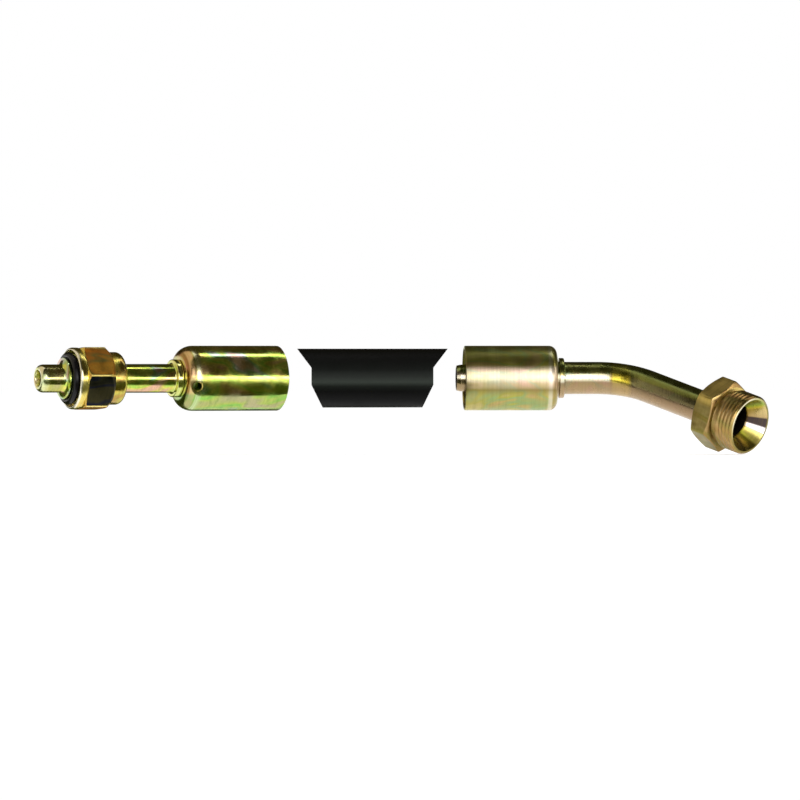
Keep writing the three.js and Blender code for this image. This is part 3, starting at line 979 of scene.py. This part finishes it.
def left_stem():
    points, radii = barbed(L_NOSE, L_LEN)
    points += [
        (L_COLLAR_AT, NECK),
        (L_COLLAR_AT, L_COLLAR),
        (L_TUBE_AT, L_COLLAR),
        (L_TUBE_AT, L_TUBE),
        (REAR_BEAD, L_TUBE),
        (REAR_BEAD, BEAD_R),
        (GROOVE, BEAD_R),
        (GROOVE, GROOVE_R),
        (FRONT_BEAD, GROOVE_R),
        (FRONT_BEAD, FRONT_R),
        (FRONT_BEAD + FRONT_LEN, FRONT_R),
    ]
    radii += [0.1, 0.5, 0.5, 0.7, 0.4, 0.6, 0.5, 0.3, 0.3, 0.35, 0]
    profile = rounded(points, radii)
    steps = 10
    for k in range(1, steps + 1):
        a = k / steps * math.pi / 2
        x = FRONT_BEAD + FRONT_LEN + FLARE * (1 - math.cos(a))
        profile.append((x, FRONT_R - (FRONT_R - PILOT_R) * math.sin(a)))
    tip = (PILOT_END - 2.4, PILOT_R)
    profile += [tip] + quarter(tip, (PILOT_END, PILOT_R - 1.6), 10)
    profile += [(PILOT_END, TIP_BORE + 0.45), (PILOT_END - 0.15, TIP_BORE + 0.15)]
    profile += [(PILOT_END - 0.5, TIP_BORE), (PILOT_END - TIP_LEN, TIP_BORE)]
    profile += [(PILOT_END - TIP_LEN, BORE), (PILOT_END - 20, BORE), (40.0, BORE)]
    profile += [(L_NOSE + 0.3, BORE)]
    stem = grid_object(
        "left_stem_fine",
        turned_grid(profile, even(STEM_SIDES)),
        LEFT,
        "left_fitting",
        ["left_stem"],
        LEFT_STEM_PLATING,
    )
    bore_end = PILOT_END - TIP_LEN + 0.1
    # The bore is coloured near-black: painted shade.
    paint(stem, BORE_PAINTED_SHADE, lambda at: at.out < BORE + 0.1 and at.x < bore_end)


def left_oring():
    centre = RING_R - RING_T / 2
    middle = GROOVE + RING_PLAY + RING_T / 2
    ring = [
        (middle + RING_T / 2 * math.cos(-a), centre + RING_T / 2 * math.sin(-a))
        for a in even(RING_SIDES)
    ]
    grid_object(
        "left_oring_fine",
        turned_grid(ring, even(STEM_SIDES)),
        LEFT,
        "left_fitting",
        ["left_oring"],
        SEAL,
    )


def left_ferrule():
    shell = grid_object(
        "left_ferrule_fine",
        ferrule_grid(L_LEN, L_SHOULDER, L_DROP),
        LEFT,
        "left_fitting",
        ["left_ferrule"],
        LEFT_FERRULE_PLATING_AND_LIGHT,
    )
    drill_hole(shell)

    def on_rim(at):
        """On the rolled edge of the sight hole."""
        across = at.out * math.radians(at.turn + SIGHT_TURN)
        return (
            FERRULE_OUT - 0.6 < at.out < FERRULE_OUT + 0.3
            and SIGHT_R - 0.02 < math.hypot(at.x - SIGHT_AT, across) < SIGHT_RIM
        )

    # The sight hole's rolled edge takes the painted highlight.
    paint(shell, EDGE_PAINTED_HIGHLIGHT, on_rim)


def drill_hole(shell):
    """Cuts the sight hole, with a small rolled edge, through the left ferrule's wall."""
    sides = 48
    a = even(sides)
    drill_shape = (
        (9.0, SIGHT_R),
        (13.15, SIGHT_R),
        (13.35, SIGHT_R + 0.12),
        (13.6, SIGHT_RIM),
        (15.0, SIGHT_R + 0.4),
    )
    rings = [
        np.stack([radius * np.cos(a), np.full(sides, height), radius * np.sin(a)], -1)
        for height, radius in drill_shape
    ]
    last = (len(rings) - 1) * sides
    faces = [
        (i + j, i + sides + j, i + sides + (j + 1) % sides, i + (j + 1) % sides)
        for i in range(0, last, sides)
        for j in range(sides)
    ]
    faces += [tuple(range(sides)), tuple(range(last + sides - 1, last - 1, -1))]
    drill = add_mesh("sight_drill", (np.concatenate(rings) * MM).tolist(), faces)
    across = Matrix.Rotation(math.radians(-SIGHT_TURN), 4, "X")
    drill.matrix_world = LEFT @ Matrix.Translation((SIGHT_AT * MM, 0, 0)) @ across
    bpy.context.view_layer.update()
    cut = shell.modifiers.new("sight_hole", "BOOLEAN")
    cut.operation, cut.solver, cut.object = "DIFFERENCE", "EXACT", drill
    graph = bpy.context.evaluated_depsgraph_get()
    done = bpy.data.meshes.new_from_object(shell.evaluated_get(graph))
    shell.modifiers.remove(cut)
    shell.data = done
    bpy.data.objects.remove(drill)
    done.shade_smooth()
    done.set_sharp_from_angle(angle=SHARP)


# ---- Hexagons ----------------------------------------------------------------------------
# Degrees from a corner to the middle of a flat, close together near the corner.
SECTOR = [0, 0.5, 1.1, 1.9, 3.0, 4.6, 7.0, 10.5, 15, 20, 25]
HEX_POWER = 60  # the higher, the sharper the corners
LEAST_CHAMFER = 0.14


def hex_angles(turn):
    half = SECTOR + [30] + [60 - s for s in SECTOR[:0:-1]]
    degrees = [turn + 60 * k + s for k in range(6) for s in half]
    return np.radians(np.array(degrees))


def hex_radius(angles, flat, turn):
    total = np.zeros_like(angles)
    for k in range(6):
        middle = math.radians(turn + 30 + 60 * k)
        total += np.maximum(np.cos(angles - middle), 0) ** HEX_POWER
    return flat / total ** (1 / HEX_POWER)


def chamfered(at, inward, radius, base, slope):
    """Rows of a hexagon's end: the face, then the turned chamfer from a base radius, then
    the flat."""
    cut = np.maximum((radius - base) * slope, LEAST_CHAMFER)
    face = np.minimum(base, radius - LEAST_CHAMFER)
    face = np.where((radius - base) * slope < LEAST_CHAMFER, radius - LEAST_CHAMFER, face)
    rows = [(at, face)]
    for share, ease in ((0.9, 0.012), (1.0, 0.035)):
        rows.append((at + inward * cut * share, face + (radius - face) * share - ease))
    rows.append((at + inward * (cut + 0.12), radius - 0.006))
    rows.append((at + inward * (cut + 0.3), radius))
    return rows


def thread_wave(x, angles, pitch):
    """1 at a right-hand thread's crest and -1 at its root, with both a little flattened."""
    phase = (x / pitch - angles / (2 * np.pi)) % 1.0
    triangle = 1 - 4 * np.abs(phase - 0.5)
    return np.clip(triangle * 1.35, -1, 1)


def nut():
    angles = hex_angles(NUT_TURN)
    radius = hex_radius(angles, NUT_FLAT, NUT_TURN)
    rear = (NUT_BACK, NUT_REAR_R - NUT_REAR_ROUND)
    side = (NUT_BACK + NUT_REAR_ROUND, NUT_REAR_R)
    profile = [(NUT_BACK + 0.35, NUT_BORE), (NUT_BACK, NUT_BORE + 0.35)]
    profile += [rear] + quarter(side, rear, 10)[-2::-1] + [side]
    profile += [(NUT_HEX_AT - 0.5, NUT_REAR_R)]
    profile += [(NUT_HEX_AT - 0.12, NUT_REAR_R + 0.1), (NUT_HEX_AT, NUT_REAR_R + 0.3)]
    profile += chamfered(NUT_HEX_AT, 1, radius, *NUT_REAR_CHAMFER)
    profile += chamfered(NUT_HEX_END, -1, radius, *NUT_FRONT_CHAMFER)[::-1]
    profile += [(NUT_HEX_END + 0.05, NUT_FRONT_R - 0.1), (NUT_HEX_END + 0.3, NUT_FRONT_R)]
    front = (NUT_RIM - 1.1, NUT_FRONT_R)
    profile += [front] + quarter(front, (NUT_RIM, NUT_FRONT_R - NUT_RIM_ROUND), 8)
    profile += [(NUT_RIM, 12.0), (NUT_RIM - 0.15, 11.85)]
    thread_from, thread_to = NUT_RIM - 0.6, NUT_HEX_AT + 7.3
    steps, run_out = 96, 8
    for k in range(steps + 1):
        x = thread_from + (thread_to - thread_from) * k / steps
        fade = min(1.0, k / run_out, (steps - k) / run_out)
        wave = NUT_THREAD_RISE * fade * thread_wave(x, angles, NUT_PITCH)
        profile.append((x, NUT_THREAD_R - wave))
    seat = NUT_HEX_AT + 4.3
    profile += [(NUT_HEX_AT + 6.7, 11.2), (seat, 8.8), (seat, NUT_BORE)]
    piece = grid_object(
        "left_swivel_nut_fine",
        turned_grid(profile, angles),
        LEFT,
        "left_nut",
        ["left_swivel_nut"],
        NUT_PLATING_AND_RIM_HIGHLIGHT,
    )

    def hex_part(at):
        """0 or 1 on every other flat, 2 on the corners between them, None elsewhere."""
        if not (NUT_HEX_AT + 0.2 < at.x < NUT_HEX_END - 0.5 and at.out > NUT_FLAT - 0.6):
            return None
        around = (at.turn - NUT_TURN) % 360
        return 2 if abs(around % 60 - 30) > 27.6 else int(around // 60) % 2

    # The flats take painted light and painted shade in turn, and the corners the painted
    # highlight.
    for part, material in enumerate((NUT_FLATS_PAINTED_LIGHT, NUT_FLATS_PAINTED_SHADE, EDGE_PAINTED_HIGHLIGHT)):
        paint(piece, material, lambda at: hex_part(at) == part)


def adapter():
    angles = hex_angles(AD_TURN)
    radius = hex_radius(angles, AD_FLAT, AD_TURN)
    socket_r = R_TUBE + 0.15
    relief = AD_THREAD - RELIEF_D
    relief_end = AD_HEX + RELIEF_W
    profile = [(1.45, socket_r), (0.0, R_TUBE + 1.9)]
    profile += chamfered(0.0, 1, radius, *AD_BACK_CHAMFER)
    profile += chamfered(AD_HEX, -1, radius, *AD_FRONT_CHAMFER)[::-1]
    profile += [(AD_HEX, relief + 0.5), (AD_HEX + 0.15, relief + 0.12), (AD_HEX + 0.5, relief)]
    profile += [(relief_end - 0.55, relief)]
    crest_from, crest_to = relief_end - 0.35, AD_LEN - 1.0
    steps = 110
    for k in range(steps + 1):
        x = crest_from + (crest_to - crest_from) * k / steps
        fade = min(1.0, k / 12, (steps - k) / 6 + 0.15)
        deep = AD_THREAD_RISE * (1 - thread_wave(x, angles, AD_PITCH)) * fade
        rise = min(1.0, k / 9)
        profile.append((x, relief + (AD_THREAD - relief) * rise - deep * rise))
    profile += [(AD_LEN - 0.75, AD_THREAD - 0.08), (AD_LEN - 0.1, AD_THREAD - 0.7)]
    profile += [(AD_LEN, AD_THREAD - 0.85), (AD_LEN, CONE_MOUTH + 0.12)]
    profile += [(AD_LEN - 0.12, CONE_MOUTH - 0.03)]
    cone_steps = 10
    for k in range(1, cone_steps + 1):
        t = k / cone_steps
        profile.append((AD_LEN - CONE_DEPTH * t, CONE_MOUTH + (THROAT - CONE_MOUTH) * t))
    profile += [(SOCKET, THROAT), (SOCKET, socket_r)]
    piece = grid_object(
        "right_male_adapter_fine",
        turned_grid(profile, angles),
        END,
        "right_fitting",
        ["right_male_adapter"],
        HEX_PLATING_LIT_TOP,
    )
    cone_from = AD_LEN - CONE_DEPTH
    rim_in, rim_out = CONE_MOUTH - 0.1, AD_THREAD - 0.75
    paint(piece, THREAD_PLATING, lambda at: at.x > AD_HEX + 0.1 and at.out > CONE_MOUTH)
    # The hexagon's front chamfer takes the thread's lighter plating as a painted highlight.
    paint(piece, THREAD_PLATING, lambda at: abs(at.x - AD_HEX + 0.6) < 0.65 and at.out > 13)
    paint(piece, CONE_PLATING_AND_REFLECTIONS, lambda at: at.x > cone_from and at.out < CONE_MOUTH)
    # The throat behind the cone is coloured near-black: painted shade.
    paint(piece, BORE_PAINTED_SHADE, lambda at: at.x < cone_from and at.out < THROAT + 0.1)
    paint(piece, RIM_PAINTED_LIGHT, lambda at: at.x > AD_LEN - 0.3 and rim_in < at.out < rim_out)


# ---- Right fitting -----------------------------------------------------------------------
def right_stem():
    points, radii = barbed(-R_NOSE, R_LEN)
    points += [
        (R_COLLAR_AT, NECK),
        (R_COLLAR_AT, R_COLLAR),
        (R_TUBE_AT, R_COLLAR),
        (R_TUBE_AT, R_TUBE),
        (R_TUBE_AT + 1.6, R_TUBE),
    ]
    radii += [0.15, 0.3, 0.7, 0.5, 0]
    head = rounded(points, radii)
    angles = even(BENT_SIDES)
    rows = list(turned_grid(head, angles))
    line = [tube_point(0, s - BEND_AT) for s in np.linspace(R_TUBE_AT + 2.4, BEND_AT - 0.8, 12)]
    line += [tube_point(TUBE_BEND * k / 26) for k in range(27)]
    line += [tube_point(TUBE_BEND, s) for s in np.linspace(1.2, LEG + SOCKET - 0.4, 20)]
    for point, tangent in line:
        rows.append(section(point, tangent, R_TUBE, angles))
    last, tangent = line[-1]
    rows.append(section(last + tangent * 0.25, tangent, R_TUBE - 0.25, angles))
    rows.append(section(last + tangent * 0.25, tangent, BORE + 0.2, angles))
    for point, tangent in reversed(line):
        rows.append(section(point, tangent, BORE, angles))
    rows += list(turned_grid([(20.0, BORE), (-R_NOSE + 0.35, BORE)], angles))
    stem = grid_object(
        "right_stem_fine",
        np.array(rows),
        BENT,
        "right_fitting",
        ["right_stem"],
        RIGHT_STEM_PLATING_AND_LIGHT,
    )
    bore_faces = (len(head) + len(line) - 1) * len(angles)
    # The tube's bore is coloured near-black: painted shade.
    paint(stem, BORE_PAINTED_SHADE, lambda at: at.index >= bore_faces)


def section(point, tangent, radius, angles):
    """A ring of points round the bent tube's middle line."""
    side = np.array([-tangent.y, tangent.x, 0.0])
    ring = np.outer(radius * np.cos(angles), side)
    ring[:, 2] += radius * np.sin(angles)
    return ring + np.array(point)


def right_ferrule():
    grid_object(
        "right_ferrule_fine",
        ferrule_grid(R_LEN, R_SHOULDER, R_DROP),
        RIGHT,
        "right_fitting",
        ["right_ferrule"],
        RIGHT_FERRULE_PLATING_AND_LIGHT,
    )


def braze_ring():
    start, inner = -1.1, R_TUBE + 0.06
    fillet = [(start, inner)]
    fillet += [
        (start + 1.5 * (1 - math.cos(a)), inner + 1.35 * math.sin(a))
        for a in np.linspace(0.25, math.pi / 2, 7)
    ]
    fillet += [(0.9, inner + 0.6), (1.3, inner)]
    grid_object(
        "right_braze_ring_fine",
        turned_grid(fillet, even(BRAZE_SIDES)),
        END,
        "right_fitting",
        ["right_braze_ring"],
        BRAZE,
    )


hose()
left_stem()
left_oring()
left_ferrule()
nut()
right_stem()
right_ferrule()
braze_ring()
adapter()

# ---- Studio ------------------------------------------------------------------------------
FLOOR_Z = cad_box[0].z - 0.0004
FLOOR_GLOW = 0.40
AMBIENT = 0.80


def seen_directly(tree):
    """1 for rays from the camera, gloss and glass, and 0 for the rest."""
    path = tree.nodes.new("ShaderNodeLightPath")
    add = path.outputs["Is Camera Ray"]
    for name in ("Is Glossy Ray", "Is Transmission Ray"):
        node = tree.nodes.new("ShaderNodeMath")
        node.operation = "MAXIMUM"
        tree.links.new(add, node.inputs[0])
        tree.links.new(path.outputs[name], node.inputs[1])
        add = node.outputs[0]
    return add


def floor():
    half = 6.0
    corners = [(-half, -half), (half, -half), (half, half), (-half, half)]
    plane = add_mesh("floor", [(x, y, FLOOR_Z) for x, y in corners], [(0, 1, 2, 3)])
    m = Nodes("floor")
    m.set(Roughness=0.9, Specular_IOR_Level=0.0, Emission_Color=(1, 1, 1, 1))
    m.feed(Base_Color=m.mix(m.noise(3, 2), (224, 224, 224), (227, 227, 227)))
    scale = m.node("Math")
    scale.operation = "MULTIPLY"
    scale.inputs[1].default_value = FLOOR_GLOW
    m.link(seen_directly(m.tree), scale.inputs[0])
    m.feed(Emission_Strength=scale.outputs[0])
    plane.data.materials.append(m.material)


def world():
    """White for what the camera and gloss see, and a little less as light."""
    studio = bpy.data.worlds.new("studio")
    bpy.context.scene.world = studio
    studio.use_nodes = True
    tree = studio.node_tree
    background = tree.nodes["Background"]
    background.inputs["Color"].default_value = (1, 1, 1, 1)
    blend = tree.nodes.new("ShaderNodeMapRange")
    blend.inputs["To Min"].default_value = AMBIENT
    blend.inputs["To Max"].default_value = 1.0
    tree.links.new(seen_directly(tree), blend.inputs["Value"])
    tree.links.new(blend.outputs["Result"], background.inputs["Strength"])


def flag(name, points, faces, dark):
    """A dark card that only gloss sees, as a photographer's flag."""
    card = add_mesh(name, points, faces)
    m = Nodes(name)
    m.set(
        Base_Color=(0.0, 0.0, 0.0, 1),
        Specular_IOR_Level=0.0,
        Emission_Color=(*dark, 1),
        Emission_Strength=1.0,
    )
    card.data.materials.append(m.material)
    card.visible_camera = False
    card.visible_diffuse = False
    card.visible_shadow = False
    card.visible_transmission = False


def ring_flag(name, low, high, arc, dark):
    """Part of a dome: from one elevation to another, over an arc counted from the
    camera's own heading towards the right of the picture, in degrees."""
    radius, sides, steps = 1.3, 96, 8
    points, faces = [], []
    for i in range(steps + 1):
        e = math.radians(low + (high - low) * i / steps)
        reach = radius * math.cos(e)
        for j in range(sides + 1):
            a = math.radians(-90 + VIEW_TURN + arc[0] + (arc[1] - arc[0]) * j / sides)
            points.append((reach * math.cos(a), reach * math.sin(a), radius * math.sin(e)))
    row = sides + 1
    for i in range(steps):
        for j in range(sides):
            a = i * row + j
            faces.append((a, a + 1, a + row + 1, a + row))
    flag(name, points, faces, dark)


def floor_flags(near, far, dark):
    """Dark strips on the floor in front of the part and behind it, along its left half."""
    line = [(-0.30, -0.075), (-0.149, -0.030), (-0.05, -0.004), (0.03, -0.002)]
    line = [Vector(p) for p in line]
    count = len(line)
    z = FLOOR_Z + 0.0006
    for name, side in (("floor_flag_front", 1), ("floor_flag_back", -1)):
        inner, outer = [], []
        for i, p in enumerate(line):
            t = (line[min(i + 1, count - 1)] - line[max(i - 1, 0)]).normalized()
            n = Vector((t.y, -t.x)) * side
            inner.append(p + n * near)
            outer.append(p + n * far)
        points = [(*p, z) for p in inner + outer]
        faces = [(i, i + 1, count + i + 1, count + i) for i in range(count - 1)]
        flag(name, points, faces, dark)


def lamp(name, place, aim, size, power, glossy):
    """An area lamp. glossy: whether shiny surfaces mirror it."""
    data = bpy.data.lights.new(name, "AREA")
    data.shape = "RECTANGLE"
    data.size, data.size_y = size
    data.energy = power
    light = add_object(name, data)
    light.location = place
    light.rotation_mode = "QUATERNION"
    light.rotation_quaternion = (Vector(aim) - Vector(place)).to_track_quat("-Z", "Y")
    light.visible_glossy = glossy
    light.visible_camera = False


SENSOR, PIXELS, MM_PER_PIXEL = 36.0, 800, 0.42
VIEW_RISE, VIEW_DISTANCE = 0.3, 4.0
PICTURE_RIGHT, PICTURE_UP = 0.0115, -0.0092


def camera():
    """Far off and narrow, at the photograph's heading and scale."""
    azimuth, elevation = math.radians(VIEW_TURN), math.radians(VIEW_RISE)
    back = Vector(
        (
            math.sin(azimuth) * math.cos(elevation),
            -math.cos(azimuth) * math.cos(elevation),
            math.sin(elevation),
        )
    )
    right = Vector((math.cos(azimuth), math.sin(azimuth), 0))
    up = back.cross(right)
    target = right * PICTURE_RIGHT + up * PICTURE_UP
    data = bpy.data.cameras.new("camera")
    data.sensor_width = SENSOR
    data.lens = SENSOR * VIEW_DISTANCE / (PIXELS * MM_PER_PIXEL * MM)
    data.clip_start, data.clip_end = 0.05, 40.0
    eye = add_object("camera", data)
    eye.location = target + back * VIEW_DISTANCE
    eye.rotation_mode = "QUATERNION"
    eye.rotation_quaternion = (-back).to_track_quat("-Z", "Y")
    bpy.context.scene.camera = eye


floor()
world()
ring_flag("upper_flag", 9, 88, (-50, 232), (0.040, 0.034, 0.012))
ring_flag("left_flag", -12, 70, (232, 310), (0.72, 0.64, 0.50))
floor_flags(0.022, 0.20, (0.060, 0.070, 0.014))
flag(
    "leg_flag",
    [(0.02, -0.05, 0.010), (0.0, -0.115, 0.010), (0.0, -0.115, 0.24), (0.02, -0.05, 0.24)],
    [(0, 1, 2, 3)],
    (0.05, 0.05, 0.016),
)
lamp("key", (-0.8, -1.6, 1.9), (0, 0, 0), (1.2, 1.2), 9, False)
lamp("front_right", (0.80, -1.05, 0.004), (0, 0, 0.004), (1.0, 0.24), 3.6, True)
lamp("front_left", (-0.10, -1.20, 0.33), (0, 0, 0.05), (0.95, 0.74), 5.4, True)
lamp("bend_spot", (-0.754, -0.868, 0.30), (0.09, -0.03, 0), (0.45, 0.52), 0.9, True)
lamp("overhead", (0.62, 0.07, 0.9), (0.62, 0.0, 0), (0.84, 0.13), 1.37, True)
lamp("strip_right", (1.12, -0.30, 0.25), (0, 0, 0.05), (0.16, 1.3), 2.6, True)
camera()

bpy.context.scene.view_settings.view_transform = "Standard"
